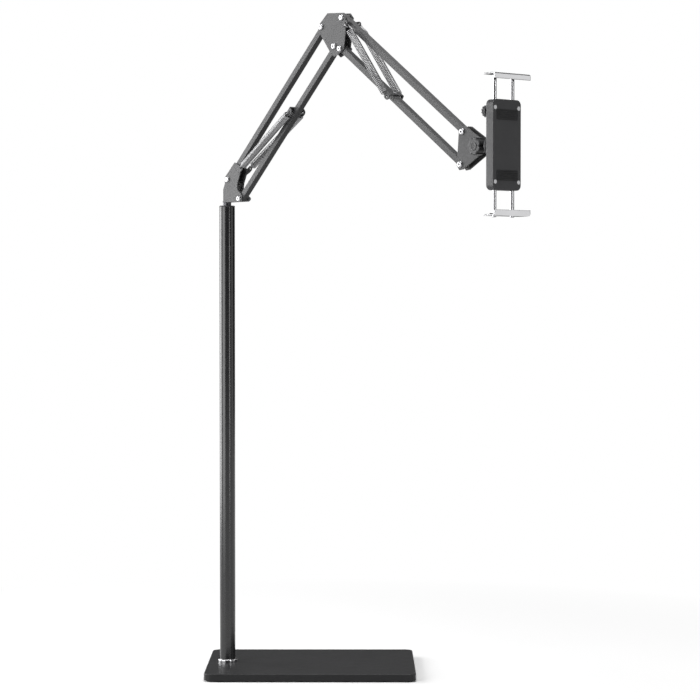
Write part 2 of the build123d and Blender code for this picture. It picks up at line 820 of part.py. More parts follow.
knuckle_half = plate_inner - layer_gap
flange_back = tilt_pivot[0] + knuckle_flange_place
flange_front = flange_back + knuckle_flange
with BuildPart() as tilt_knuckle:
    with BuildSketch(arm_layer(-knuckle_half)):
        with Locations(tilt_pivot):
            Circle(knuckle_radius)
            Rectangle(
                knuckle_flange_place + knuckle_flange / 2,
                knuckle_neck,
                align=(Align.MIN, Align.CENTER),
            )
    extrude(amount=2 * knuckle_half)
    with BuildSketch(holder_layer(flange_back)):
        Circle(knuckle_flange_radius)
    extrude(amount=knuckle_flange)
    rims = tilt_knuckle.edges().filter_by(GeomType.CIRCLE).group_by(SortBy.RADIUS)[-1]
    fillet(rims, knuckle_flange_edge)
    drill([tilt_pivot], tilt_bolt_radius + running_fit, plate_outer)
    with BuildSketch(holder_layer(flange_front + overrun)):
        Circle(stud_radius + hold_fit)
    extrude(amount=-(knuckle_flange + stud_root + overrun), mode=Mode.SUBTRACT)
save(tilt_knuckle, "tilt_knuckle")

# Stud, washers and nut that the holder turns on
washer_back = flange_front + layer_gap
boss_back = washer_back + friction_washer + layer_gap
housing_back = boss_back + boss_length
pocket_back = housing_back + pocket_floor
housing_front = housing_back + housing_depth
nut_back = pocket_back + layer_gap + inner_washer
nut_front = nut_back + stud_nut_height
with BuildPart() as holder_stud:
    with BuildSketch(holder_layer(flange_back - stud_root)):
        Circle(stud_radius)
    extrude(amount=nut_front + stud_end - flange_back + stud_root)
save(holder_stud, "holder_stud")

with BuildPart() as holder_washers:
    with BuildSketch(holder_layer(washer_back)):
        Circle(friction_washer_radius)
        Circle(stud_radius + hold_fit, mode=Mode.SUBTRACT)
    extrude(amount=friction_washer)
    with BuildSketch(holder_layer(pocket_back + layer_gap)):
        Circle(inner_washer_radius)
        Circle(stud_radius + hold_fit, mode=Mode.SUBTRACT)
    extrude(amount=inner_washer)
save(holder_washers, "holder_washers")

with BuildPart() as holder_nut:
    with BuildSketch(holder_layer(nut_back)):
        RegularPolygon(stud_nut_radius, 6)
        Circle(stud_radius + hold_fit, mode=Mode.SUBTRACT)
    extrude(amount=stud_nut_height)
save(holder_nut, "holder_nut")

# Holder housing with its boss, nut pocket, rod bores and screw holes
rod_out = housing_back + rod_sink
cover_screw_spots = GridLocations(
    housing_width - 2 * cover_screw_inset, 2 * cover_screw_rise, 2, 2
).local_locations
lock_spots = ((-rod_spread, lock_rise), (rod_spread, -lock_rise))
with BuildPart() as holder_housing:
    with BuildSketch(holder_layer(housing_back)):
        RectangleRounded(housing_width, housing_height, housing_corner)
    extrude(amount=housing_depth)
    fillet(holder_housing.faces().sort_by(out_axis)[0].edges(), housing_edge)
    with BuildSketch(holder_layer(boss_back)):
        Circle(boss_radius)
    extrude(amount=boss_length)
    with BuildSketch(holder_layer(pocket_back)):
        Rectangle(pocket_width, pocket_height)
    extrude(amount=housing_depth, mode=Mode.SUBTRACT)
    with BuildSketch(holder_layer(boss_back - overrun)):
        Circle(stud_radius + running_fit)
    extrude(amount=boss_length + pocket_floor + 2 * overrun, mode=Mode.SUBTRACT)
    rod_plane = Plane(arm_point((rod_out, tilt_pivot[1])), x_dir=arm_side, z_dir=(0, 0, 1))
    with BuildSketch(rod_plane):
        with GridLocations(2 * rod_spread, 0, 2, 1):
            Circle(rod_radius + rod_fit)
    extrude(amount=housing_height, both=True, mode=Mode.SUBTRACT)
    with BuildSketch(holder_layer(housing_back - overrun)):
        with Locations(*lock_spots):
            Circle(lock_radius + running_fit)
    extrude(amount=rod_sink + overrun, mode=Mode.SUBTRACT)
    with BuildSketch(holder_layer(housing_front)):
        with Locations(*cover_screw_spots):
            Circle(cover_screw_radius + hold_fit)
    extrude(amount=-(cover_screw_length - cover_thickness + overrun), mode=Mode.SUBTRACT)
save(holder_housing, "holder_housing")

cover_front = housing_front + cover_thickness
with BuildPart() as holder_cover:
    with BuildSketch(holder_layer(housing_front)):
        RectangleRounded(housing_width, housing_height, housing_corner)
    extrude(amount=cover_thickness)
    fillet(holder_cover.faces().sort_by(out_axis)[-1].edges(), cover_edge)
    with Locations(holder_layer(cover_front)):
        with Locations(*cover_screw_spots):
            CounterSinkHole(
                cover_screw_radius + hold_fit, cover_screw_head_radius + hold_fit
            )
save(holder_cover, "holder_cover")

with BuildPart() as holder_cover_screws:
    with BuildSketch(holder_layer(cover_front)):
        with Locations(*cover_screw_spots):
            Circle(cover_screw_radius)
    extrude(amount=-cover_screw_length)
    with BuildSketch(holder_layer(cover_front)):
        with Locations(*cover_screw_spots):
            Circle(cover_screw_head_radius)
    extrude(amount=-(cover_screw_head_radius - cover_screw_radius), taper=45)
save(holder_cover_screws, "holder_cover_screws")

with BuildPart() as holder_pads:
    with BuildSketch(holder_layer(cover_front)):
        with Locations((0, pad_rise), (0, -pad_rise)):
            RectangleRounded(pad_width, pad_band, pad_corner)
    extrude(amount=pad_thickness)
save(holder_pads, "holder_pads")

# Jaws, their liners, rods, screws and thumb screws
lip_inner = cover_front + pad_thickness + tablet_gap
jaw_front = lip_inner + jaw_sheet
jaw_back = rod_out - rod_radius
holder_rise = tilt_pivot[1]
rod_spots = [(-rod_spread, 0), (rod_spread, 0)]


def make_jaw(name, way):
    """Make one jaw, bent from sheet, with its front lip turned inwards."""
    level = holder_rise + way * (jaw_rise - jaw_sheet / 2)
    with BuildPart() as jaw:
        with BuildSketch(arm_layer(0)):
            with BuildLine():
                FilletPolyline(
                    (jaw_back, level),
                    (jaw_front - jaw_sheet / 2, level),
                    (jaw_front - jaw_sheet / 2, holder_rise + way * (jaw_rise - jaw_lip)),
                    radius=jaw_bend,
                )
            trace(line_width=jaw_sheet)
        extrude(amount=jaw_width / 2, both=True)
        ends = jaw.faces().sort_by(side_axis)
        fillet([*ends[0].edges(), *ends[-1].edges()], jaw_edge)
        with BuildSketch(Plane(arm_point((rod_out, level)), x_dir=arm_side, z_dir=(0, 0, 1))):
            with Locations(*rod_spots):
                Circle(jaw_screw_radius + hold_fit)
        extrude(amount=jaw_sheet, both=True, mode=Mode.SUBTRACT)
    save(jaw, name)


def make_liner(name, way):
    """Make the rubber liner inside one jaw."""
    level = holder_rise + way * (jaw_rise - jaw_sheet - liner_thickness / 2)
    tip = holder_rise + way * (jaw_rise - jaw_lip + liner_setback)
    with BuildPart() as liner:
        with BuildSketch(arm_layer(0)):
            with BuildLine():
                FilletPolyline(
                    (cover_front, level),
                    (lip_inner - liner_thickness / 2, level),
                    (lip_inner - liner_thickness / 2, tip),
                    radius=jaw_bend - (jaw_sheet + liner_thickness) / 2,
                )
            trace(line_width=liner_thickness)
        extrude(amount=jaw_width / 2 - liner_setback, both=True)
    save(liner, name)


def make_rods(name, way):
    """Make the two rods that carry one jaw, tapped at their outer ends."""
    inner = arm_point((rod_out, holder_rise + way * rod_inner_rise))
    length = jaw_rise - jaw_sheet - rod_inner_rise
    rod_plane = Plane(inner, x_dir=arm_side, z_dir=(0, 0, way))
    with BuildPart() as rods:
        with BuildSketch(rod_plane):
            with Locations(*rod_spots):
                Circle(rod_radius)
        extrude(amount=length)
        ends = rods.edges().filter_by(GeomType.CIRCLE).group_by(Axis.Z)
        chamfer(ends[0] if way > 0 else ends[-1], rod_chamfer)
        with BuildSketch(rod_plane.offset(length)):
            with Locations(*rod_spots):
                Circle(jaw_screw_radius + hold_fit)
        extrude(amount=-jaw_screw_length, mode=Mode.SUBTRACT)
    save(rods, name)


def make_jaw_screws(name, way):
    """Make the two screws that hold one jaw on its rods."""
    seat = arm_point((rod_out, holder_rise + way * jaw_rise))
    seat_plane = Plane(seat, x_dir=arm_side, z_dir=(0, 0, way))
    with BuildPart() as screws:
        with BuildSketch(seat_plane):
            with Locations(*rod_spots):
                Circle(jaw_screw_head_radius)
        extrude(amount=jaw_screw_head_height)
        rims = screws.edges().filter_by(GeomType.CIRCLE).group_by(Axis.Z)
        fillet(rims[-1] if way > 0 else rims[0], jaw_screw_edge)
        with BuildSketch(seat_plane):
            with Locations(*rod_spots):
                Circle(jaw_screw_radius)
        extrude(amount=-jaw_screw_length)
        with BuildSketch(seat_plane.offset(jaw_screw_head_height)):
            with Locations(*rod_spots):
                RegularPolygon(jaw_screw_radius, 6)
        extrude(amount=-jaw_screw_head_height / 2, mode=Mode.SUBTRACT)
    save(screws, name)


def make_lock_screw(name, spot):
    """Make one thumb screw, its grooved knob behind the housing."""
    knob_front = housing_back - lock_neck
    tip = rod_out - rod_radius - lock_tip_gap
    with BuildPart() as lock_screw:
        with BuildSketch(holder_layer(knob_front - lock_knob_height)):
            with Locations(spot):
                Circle(lock_knob_radius)
                with PolarLocations(lock_knob_radius, lock_knob_grooves):
                    Circle(lock_groove_radius, mode=Mode.SUBTRACT)
        extrude(amount=lock_knob_height)
        fillet(lock_screw.faces().sort_by(out_axis)[0].edges(), lock_knob_edge)
        with BuildSketch(holder_layer(knob_front)):
            with Locations(spot):
                Circle(lock_neck_radius)
        extrude(amount=lock_neck - layer_gap)
        with BuildSketch(holder_layer(knob_front)):
            with Locations(spot):
                Circle(lock_radius)
        extrude(amount=tip - knob_front)
    save(lock_screw, name)


for way, word, spot in ((1, "upper", lock_spots[0]), (-1, "lower", lock_spots[1])):
    make_jaw(f"{word}_jaw", way)
    make_liner(f"{word}_jaw_liner", way)
    make_rods(f"{word}_jaw_rods", way)
    make_jaw_screws(f"{word}_jaw_screws", way)
    make_lock_screw(f"{word}_lock_screw", spot)
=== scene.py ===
"""Looks of an adjustable tablet floor stand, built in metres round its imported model."""

from __future__ import annotations

import json
import logging
import math
from dataclasses import dataclass, field
from enum import Enum

import bpy
import numpy as np
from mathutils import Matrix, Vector

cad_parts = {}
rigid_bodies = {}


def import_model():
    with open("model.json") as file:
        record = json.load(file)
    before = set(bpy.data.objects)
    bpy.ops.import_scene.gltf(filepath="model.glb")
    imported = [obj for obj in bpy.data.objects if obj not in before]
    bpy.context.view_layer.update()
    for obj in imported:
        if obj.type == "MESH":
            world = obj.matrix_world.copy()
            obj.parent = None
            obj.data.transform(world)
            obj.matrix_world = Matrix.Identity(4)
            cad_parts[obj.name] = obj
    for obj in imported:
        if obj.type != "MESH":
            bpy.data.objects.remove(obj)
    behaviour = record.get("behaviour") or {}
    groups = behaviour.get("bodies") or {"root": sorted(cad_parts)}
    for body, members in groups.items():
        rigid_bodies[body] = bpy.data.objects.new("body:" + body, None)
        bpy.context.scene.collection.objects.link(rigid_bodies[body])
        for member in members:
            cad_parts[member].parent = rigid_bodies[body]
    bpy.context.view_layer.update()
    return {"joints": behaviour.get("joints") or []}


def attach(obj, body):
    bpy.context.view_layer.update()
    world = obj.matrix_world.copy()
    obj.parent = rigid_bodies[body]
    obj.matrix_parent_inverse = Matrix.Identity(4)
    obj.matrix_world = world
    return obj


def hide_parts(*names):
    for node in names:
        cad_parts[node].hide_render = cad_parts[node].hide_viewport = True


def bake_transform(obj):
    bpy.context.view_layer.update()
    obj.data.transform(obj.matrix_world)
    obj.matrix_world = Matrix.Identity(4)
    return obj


log = logging.getLogger("tablet_stand")

MM = 0.001
SMOOTH_ANGLE = math.radians(32)

Colour = tuple[float, float, float]
Points = np.ndarray


class Relief(Enum):
    """The fine relief that a finish has on its surface."""

    POWDER = "powder"
    ORANGE_PEEL = "orange_peel"
    DRAWN = "drawn"
    SPARKED = "sparked"
    POLISHED = "polished"
    GRAINED = "grained"


class Graph:
    """The node tree of one material, with short calls that add and join nodes."""

    def __init__(self, name: str) -> None:
        """Start a material that holds one principled shader.

        Args:
            name: The material's name.
        """
        self.material = bpy.data.materials.new(name)
        self.material.use_nodes = True
        self.tree = self.material.node_tree
        self.shader = self.tree.nodes["Principled BSDF"]
        self.place = self.add("ShaderNodeTexCoord").outputs["Object"]

    def add(self, kind: str, **settings: object) -> bpy.types.Node:
        """Add one node.

        Args:
            kind: The node's type.
            **settings: Properties of the node.

        Returns:
            The new node.
        """
        node = self.tree.nodes.new(kind)
        for name, value in settings.items():
            setattr(node, name, value)
        return node

    def join(self, source: bpy.types.NodeSocket, target: bpy.types.NodeSocket) -> None:
        """Link one socket to another."""
        self.tree.links.new(source, target)

    def feed(self, target: bpy.types.NodeSocket, value: object) -> None:
        """Link a socket to a target, or set the target if the value is a number."""
        if isinstance(value, bpy.types.NodeSocket):
            self.join(value, target)
        else:
            target.default_value = value

    def stretch(self, scale: Colour) -> bpy.types.NodeSocket:
        """Return the object's coordinates, scaled along each axis."""
        node = self.add("ShaderNodeMapping")
        self.join(self.place, node.inputs["Vector"])
        node.inputs["Scale"].default_value = scale
        return node.outputs["Vector"]

    def noise(
        self,
        size: float,
        detail: float = 3.0,
        vector: bpy.types.NodeSocket | None = None,
    ) -> bpy.types.NodeSocket:
        """Add noise.

        Args:
            size: The width of one patch in metres, or its scale where a vector is given.
            detail: How many finer layers it has.
            vector: The coordinates, if not the object's own.

        Returns:
            The noise, from 0 to 1.
        """
        node = self.add("ShaderNodeTexNoise")
        self.join(vector or self.place, node.inputs["Vector"])
        node.inputs["Scale"].default_value = 1 / size
        node.inputs["Detail"].default_value = detail
        return node.outputs["Fac"]

    def cells(self, size: float) -> bpy.types.NodeSocket:
        """Return the distance field of cells of a size in metres."""
        node = self.add("ShaderNodeTexVoronoi")
        self.join(self.place, node.inputs["Vector"])
        node.inputs["Scale"].default_value = 1 / size
        return node.outputs["Distance"]

    def spread(
        self,
        value: bpy.types.NodeSocket,
        low: float,
        high: float,
        start: float = 0.0,
        end: float = 1.0,
    ) -> bpy.types.NodeSocket:
        """Map a value from one range to another, held at the ends.

        Args:
            value: The value to map.
            low: The result at the start of the range.
            high: The result at its end.
            start: Where the range starts.
            end: Where it ends.

        Returns:
            The mapped value.
        """
        node = self.add("ShaderNodeMapRange")
        self.join(value, node.inputs["Value"])
        node.inputs["From Min"].default_value = start
        node.inputs["From Max"].default_value = end
        node.inputs["To Min"].default_value = low
        node.inputs["To Max"].default_value = high
        return node.outputs["Result"]

    def math(self, operation: str, first: object, second: object) -> bpy.types.NodeSocket:
        """Return the result of one sum of two values."""
        node = self.add("ShaderNodeMath", operation=operation)
        self.feed(node.inputs[0], first)
        self.feed(node.inputs[1], second)
        return node.outputs["Value"]

    def blend(self, share: object, first: object, second: object) -> bpy.types.NodeSocket:
        """Mix two colours.

        Args:
            share: How much of the second colour shows.
            first: The first colour or a socket that gives it.
            second: The second colour or a socket.

        Returns:
            The mixed colour.
        """
        node = self.add("ShaderNodeMix", data_type="RGBA")
        self.feed(node.inputs["Factor"], share)
        colours = [socket for socket in node.inputs if socket.type == "RGBA"]
        for socket, value in zip(colours, (first, second)):
            if isinstance(value, tuple):
                value = (*value, 1.0)
            self.feed(socket, value)
        return next(socket for socket in node.outputs if socket.type == "RGBA")

    def rounded_edges(self, radius: float) -> tuple[bpy.types.NodeSocket, bpy.types.NodeSocket]:
        """Round the shading over sharp edges.

        Args:
            radius: The radius of the rounding in metres.

        Returns:
            The rounded normal, and how near an edge is, from 0 to 1.
        """
        bevel = self.add("ShaderNodeBevel", samples=4)
        bevel.inputs["Radius"].default_value = radius
        true_normal = self.add("ShaderNodeNewGeometry").outputs["True Normal"]
        product = self.add("ShaderNodeVectorMath", operation="DOT_PRODUCT")
        self.join(bevel.outputs["Normal"], product.inputs[0])
        self.join(true_normal, product.inputs[1])
        edge = self.spread(product.outputs["Value"], 1.0, 0.0, 0.72, 0.98)
        return bevel.outputs["Normal"], edge

    def bump(
        self, height: bpy.types.NodeSocket, depth: float, normal: bpy.types.NodeSocket
    ) -> bpy.types.NodeSocket:
        """Add relief to a normal.

        Args:
            height: The relief, from 0 to 1.
            depth: Its depth in metres.
            normal: The normal that it changes.

        Returns:
            The changed normal.
        """
        node = self.add("ShaderNodeBump")
        node.inputs["Strength"].default_value = 1.0
        node.inputs["Distance"].default_value = depth
        self.join(height, node.inputs["Height"])
        self.join(normal, node.inputs["Normal"])
        return node.outputs["Normal"]


@dataclass(frozen=True)
class Finish:
    """One surface finish, with its colour, gloss and relief, and an edge colour that is edge
    wear on some finishes and painted highlight or painted dark reflection on others.
    """

    name: str
    colour: Colour
    slot: str
    relief: Relief
    roughness: float
    metallic: float = 0.0
    specular: float = 0.5
    coat: float = 0.0
    coat_roughness: float = 0.08
    relief_size: float = 0.0008
    relief_depth: float = 0.00002
    mottle: float = 0.12
    smudge: float = 0.12
    edge_colour: Colour | None = None
    edge_radius: float = 0.0004
    edge_share: float = 0.5
    grain_axis: Colour = (1.0, 1.0, 0.04)

    def material(self) -> bpy.types.Material:
        """Return this finish's material, made when it is first asked for."""
        return bpy.data.materials.get(self.name) or self.build()

    def height(self, graph: Graph) -> bpy.types.NodeSocket:
        """Return the finish's fine relief, from 0 to 1."""
        size = self.relief_size
        if self.relief is Relief.POWDER:
            return graph.math("MULTIPLY", graph.noise(size, 2.0), graph.noise(size * 3.1, 1.0))
        if self.relief is Relief.ORANGE_PEEL:
            return graph.noise(size, 1.0)
        if self.relief in (Relief.DRAWN, Relief.POLISHED):
            return graph.noise(size, 4.0, graph.stretch(self.grain_axis))
        if self.relief is Relief.SPARKED:
            return graph.math("ADD", graph.cells(size), graph.noise(size * 0.6, 2.0))
        return graph.noise(size, 6.0)

    def build(self) -> bpy.types.Material:
        """Make the material.

        Returns:
            The material with all its nodes.
        """
        graph = Graph(self.name)
        inputs = graph.shader.inputs
        inputs["Metallic"].default_value = self.metallic
        inputs["Specular IOR Level"].default_value = self.specular
        inputs["Coat Weight"].default_value = self.coat
        inputs["Coat Roughness"].default_value = self.coat_roughness
        normal, edge = graph.rounded_edges(self.edge_radius)
        relief = self.height(graph)
        patches = graph.noise(0.035, 4.0)
        lighter = tuple(min(1.0, part * (1 + self.mottle)) for part in self.colour)
        darker = tuple(part * (1 - self.mottle) for part in self.colour)
        colour = graph.blend(graph.spread(patches, 0.0, 1.0, 0.3, 0.7), darker, lighter)
        speck = graph.spread(relief, 0.0, 0.35, 0.45, 0.8)
        colour = graph.blend(speck, colour, tuple(part * 1.2 for part in lighter))
        # Edges blend towards edge_colour: edge wear on some finishes, painted edge highlight or
        # painted dark reflection on others.
        if self.edge_colour is not None:
            edge_wear_and_light = graph.math("MULTIPLY", edge, graph.spread(patches, 0.5, 1.0, 0.35, 0.6))
            edge_wear_and_light = graph.math("MULTIPLY", edge_wear_and_light, self.edge_share)
            colour = graph.blend(edge_wear_and_light, colour, self.edge_colour)
        graph.join(colour, inputs["Base Color"])
        low = max(0.02, self.roughness - self.smudge / 2)
        high = min(1.0, self.roughness + self.smudge / 2)
        wiped = graph.noise(0.018, 5.0)
        graph.join(graph.spread(wiped, low, high, 0.3, 0.7), inputs["Roughness"])
        graph.join(graph.bump(relief, self.relief_depth, normal), inputs["Normal"])
        return graph.material


# Lighter edge_colour: painted highlight along the plate's edges, partly edge wear.
BASE_COAT = Finish(
    "satin_powder_coat", (0.02, 0.02, 0.021), "base_paint", Relief.POWDER, 0.4,
    specular=0.25, mottle=0.06, smudge=0.05, relief_size=0.0009, relief_depth=0.00006,
    edge_colour=(0.09, 0.09, 0.095), edge_radius=0.0008,
)
POLE_ENAMEL = Finish(
    "pole_enamel", (0.016, 0.016, 0.017), "pole_paint", Relief.ORANGE_PEEL, 0.2,
    specular=0.6, mottle=0.05, relief_size=0.0035, relief_depth=0.00001, smudge=0.06,
)
# Much lighter edge_colour: painted highlight along the bar and plate edges, partly edge wear.
ARM_ENAMEL = Finish(
    "arm_enamel", (0.095, 0.095, 0.097), "arm_paint", Relief.ORANGE_PEEL, 0.34,
    specular=0.1, mottle=0.05, smudge=0.06, relief_size=0.0012, relief_depth=0.000006,
    edge_colour=(0.36, 0.36, 0.37), edge_radius=0.0004,
)
# Near-black edge_colour over the whole edge band: painted dark reflection round the chrome's
# edges.
CHROME = Finish(
    "polished_chrome", (0.62, 0.62, 0.63), "chrome", Relief.POLISHED, 0.08,
    metallic=1.0, relief_size=0.0006, relief_depth=0.000001, mottle=0.03, smudge=0.04,
    edge_colour=(0.02, 0.02, 0.02), edge_radius=0.0018, edge_share=1.0,
)
ROD_CHROME = Finish(
    "rod_chrome", (0.5, 0.5, 0.51), "chrome", Relief.DRAWN, 0.16,
    metallic=1.0, relief_size=0.0003, relief_depth=0.000002, mottle=0.05, smudge=0.08,
)
# Dark edge_colour: painted dark reflection round the edges of the bolts and screws.
ZINC = Finish(
    "zinc_plate", (0.42, 0.42, 0.43), "screw_steel", Relief.GRAINED, 0.2,
    metallic=1.0, relief_size=0.0007, relief_depth=0.000003, mottle=0.08, smudge=0.1,
    edge_colour=(0.08, 0.08, 0.08), edge_radius=0.0005, edge_share=0.9,
)
BLACK_OXIDE = Finish(
    "black_oxide", (0.07, 0.07, 0.075), "pin_steel", Relief.DRAWN, 0.34,
    metallic=0.9, relief_size=0.0004, relief_depth=0.000003,
    edge_colour=(0.3, 0.3, 0.31), edge_radius=0.0003,
)
SPRING_WIRE = Finish(
    "drawn_spring_wire", (0.3, 0.3, 0.305), "spring_steel", Relief.GRAINED, 0.4,
    metallic=1.0, relief_size=0.0005, relief_depth=0.000002, mottle=0.06, smudge=0.06,
    edge_radius=0.0001,
)
KNUCKLE_ALLOY = Finish(
    "black_anodised_alloy", (0.05, 0.05, 0.053), "knuckle_alloy", Relief.GRAINED, 0.42,
    metallic=0.6, relief_size=0.0003, relief_depth=0.000005,
    edge_colour=(0.4, 0.4, 0.41), edge_radius=0.0003,
)
MOULDED = Finish(
    "moulded_black_plastic", (0.025, 0.025, 0.027), "black_plastic", Relief.SPARKED, 0.52,
    specular=0.45, relief_size=0.0007, relief_depth=0.00003, smudge=0.1,
    edge_colour=(0.05, 0.05, 0.052), edge_radius=0.0004,
)
GLOSS_CAP = Finish(
    "gloss_black_cap", (0.02, 0.02, 0.022), "black_plastic", Relief.ORANGE_PEEL, 0.14,
    coat=0.5, relief_size=0.004, relief_depth=0.000004, smudge=0.06,
)
NYLON = Finish(
    "natural_nylon", (0.72, 0.71, 0.66), "nylon", Relief.GRAINED, 0.42,
    relief_size=0.0009, relief_depth=0.000006, mottle=0.04,
)
RUBBER = Finish(
    "soft_matt_rubber", (0.028, 0.028, 0.029), "rubber", Relief.GRAINED, 0.78,
    specular=0.25, relief_size=0.0004, relief_depth=0.00002, mottle=0.18, smudge=0.16,
    edge_colour=(0.07, 0.07, 0.07), edge_radius=0.0003,
)


def dress(finish: Finish, *nodes: str) -> None:
    """Give CAD nodes a finish.

    Args:
        finish: The finish.
        *nodes: The nodes' names.
    """
    for name in nodes:
        piece = bpy.data.objects[name]
        if not piece.material_slots:
            piece.data.materials.append(None)
        for slot in piece.material_slots:
            slot.link = "OBJECT"
            slot.material = finish.material()
        log.info("dressed %s in %s", name, finish.name)


@dataclass
class Mesh:
    """Corner points and faces that grow into one piece."""

    points: list[Points] = field(default_factory=list)
    faces: list[tuple[int, ...]] = field(default_factory=list)

    def size(self) -> int:
        """Return how many points there are."""
        return sum(len(part) for part in self.points)

    def take(self, points: Points, faces: list[tuple[int, ...]]) -> None:
        """Add points, and faces that count from the first of them."""
        first = self.size()
        self.points.append(points)
        self.faces += [tuple(first + corner for corner in face) for face in faces]

    def loops(self, rings: Points, closed: bool = False, capped: bool = True) -> None:
        """Join rings of points, one after the other, with a skin.

        Args:
            rings: An array of rings, each with as many points.
            closed: Whether the last ring joins the first.
            capped: Whether the two ends are filled.
        """
        count, sides = rings.shape[:2]
        faces: list[tuple[int, ...]] = []
        for ring in range(count if closed else count - 1):
            here, there = ring * sides, (ring + 1) % count * sides
            for side in range(sides):
                nxt = (side + 1) % sides
                faces.append((here + side, here + nxt, there + nxt, there + side))
        if capped and not closed:
            faces.append(tuple(reversed(range(sides))))
            faces.append(tuple(range((count - 1) * sides, count * sides)))
        self.take(rings.reshape(-1, 3), faces)

    def piece(self, name: str, finish: Finish) -> bpy.types.Object:
        """Make the object.

        Args:
            name: The piece's name.
            finish: Its finish.

        Returns:
            The object, in the scene.
        """
        data = bpy.data.meshes.new(name)
        data.from_pydata(np.concatenate(self.points).tolist(), [], self.faces)
        data.validate()
        data.shade_smooth()
        data.set_sharp_from_angle(angle=SMOOTH_ANGLE)
        data.materials.append(finish.material())
        made = bpy.data.objects.new(name, data)
        bpy.context.scene.collection.objects.link(made)
        log.info("made %s with %d faces", name, len(data.polygons))
        return made


def tube_rings(path: Points, radius: float, sides: int) -> Points:
    """Return the rings of a round tube along a path.

    Args:
        path: Points along the tube's middle.
        radius: The tube's radius.
        sides: How many points each ring has.

    Returns:
        The rings, one for each point of the path.
    """
    tangents = np.gradient(path, axis=0)
    tangents /= np.linalg.norm(tangents, axis=1)[:, None]
    seed = np.cross(tangents[0], (0.0, 0.0, 1.0))
    if np.linalg.norm(seed) < 0.1:
        seed = np.cross(tangents[0], (1.0, 0.0, 0.0))
    normals = [seed / np.linalg.norm(seed)]
    for tangent in tangents[1:]:
        turned = normals[-1] - tangent * (normals[-1] @ tangent)
        normals.append(turned / np.linalg.norm(turned))
    across = np.array(normals)
    third = np.cross(tangents, across)
    turns = np.linspace(0, 2 * math.pi, sides, endpoint=False)
    circle = across[:, None] * np.cos(turns)[None, :, None]
    circle = circle + third[:, None] * np.sin(turns)[None, :, None]
    return path[:, None] + radius * circle


def arc_points(centre: Points, first: Points, second: Points, sweep: Points) -> Points:
    """Return points on a circle.

    Args:
        centre: The circle's middle.
        first: The radius vector at angle 0.
        second: The radius vector at a quarter turn.
        sweep: The angles.

    Returns:
        One point for each angle.
    """
    return centre + np.cos(sweep)[:, None] * first + np.sin(sweep)[:, None] * second


def rounded_outline(width: float, height: float, corner: float, steps: int = 6) -> Points:
    """Return the outline of a rounded rectangle round the origin, as x and y."""
    outline = []
    for count, (x_way, y_way) in enumerate(((1, 1), (-1, 1), (-1, -1), (1, -1))):
        middle = np.array(((width / 2 - corner) * x_way, (height / 2 - corner) * y_way))
        for turn in np.linspace(0, math.pi / 2, steps) + count * math.pi / 2:
            outline.append(middle + corner * np.array((math.cos(turn), math.sin(turn))))
    return np.array(outline)


@dataclass(frozen=True)
class ArmPlane:
    """The upright plane of the arms, and the pivots in it, read from the model's joints."""

    foot: Points
    out: Points
    side: Points
    lower_top: tuple[float, float]
    lower_bottom: tuple[float, float]
    elbow_top: tuple[float, float]
    elbow_bottom: tuple[float, float]
    upper_top: tuple[float, float]
    upper_bottom: tuple[float, float]
    head_top: tuple[float, float]
    head_bottom: tuple[float, float]
    tilt: tuple[float, float]

    @classmethod
    def from_joints(cls, joints: list[dict]) -> ArmPlane:
        """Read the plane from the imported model's joints.

        Args:
            joints: The joints, as the record gives them.

        Returns:
            The plane.
        """
        by_name = {joint["name"]: joint for joint in joints}
        foot = np.array(by_name["arm_swivel"]["pos_m"]) * (1.0, 1.0, 0.0)
        side = np.array(by_name["lower_arm_lift"]["axis"], float)
        out = np.array(by_name["holder_turn"]["axis"], float)

        def place(name: str) -> tuple[float, float]:
            """Return a joint's place, as lengths out and up."""
            spot = np.array(by_name[name]["pos_m"])
            return float((spot - foot) @ out), float(spot[2])

        def shifted(base: tuple, start: tuple, end: tuple) -> tuple[float, float]:
            """Return a place moved as one pivot lies from another."""
            return base[0] + end[0] - start[0], base[1] + end[1] - start[1]

        lower_top, lower_bottom = place("lower_link_follow"), place("lower_arm_lift")
        elbow_bottom = place("elbow_level")
        upper_top, upper_bottom = place("upper_link_follow"), place("upper_arm_lift")
        head_bottom = place("head_level")
        return cls(
            foot=foot,
            out=out,
            side=side,
            lower_top=lower_top,
            lower_bottom=lower_bottom,
            elbow_top=shifted(lower_top, lower_bottom, elbow_bottom),
            elbow_bottom=elbow_bottom,
            upper_top=upper_top,
            upper_bottom=upper_bottom,
            head_top=shifted(upper_top, upper_bottom, head_bottom),
            head_bottom=head_bottom,
            tilt=place("head_tilt"),
        )

    def point(self, place: tuple[float, float], side: float = 0.0) -> Points:
        """Return the point in space of a place in the plane, set off to one side."""
        return self.foot + self.out * place[0] + self.side * side + (0.0, 0.0, place[1])


@dataclass
class Stand:
    """The base plate with its mat, the pole and what joins them."""

    def build(self) -> None:
        """Dress the stand's nodes."""
        dress(BASE_COAT, "base_plate")
        dress(RUBBER, "base_mat")
        dress(POLE_ENAMEL, "pole_tube")
        dress(CHROME, "foot_ring")
        dress(MOULDED, "pole_top_bush")
        dress(ZINC, "pole_screw", "pole_screw_washer", "pole_foot_plug")


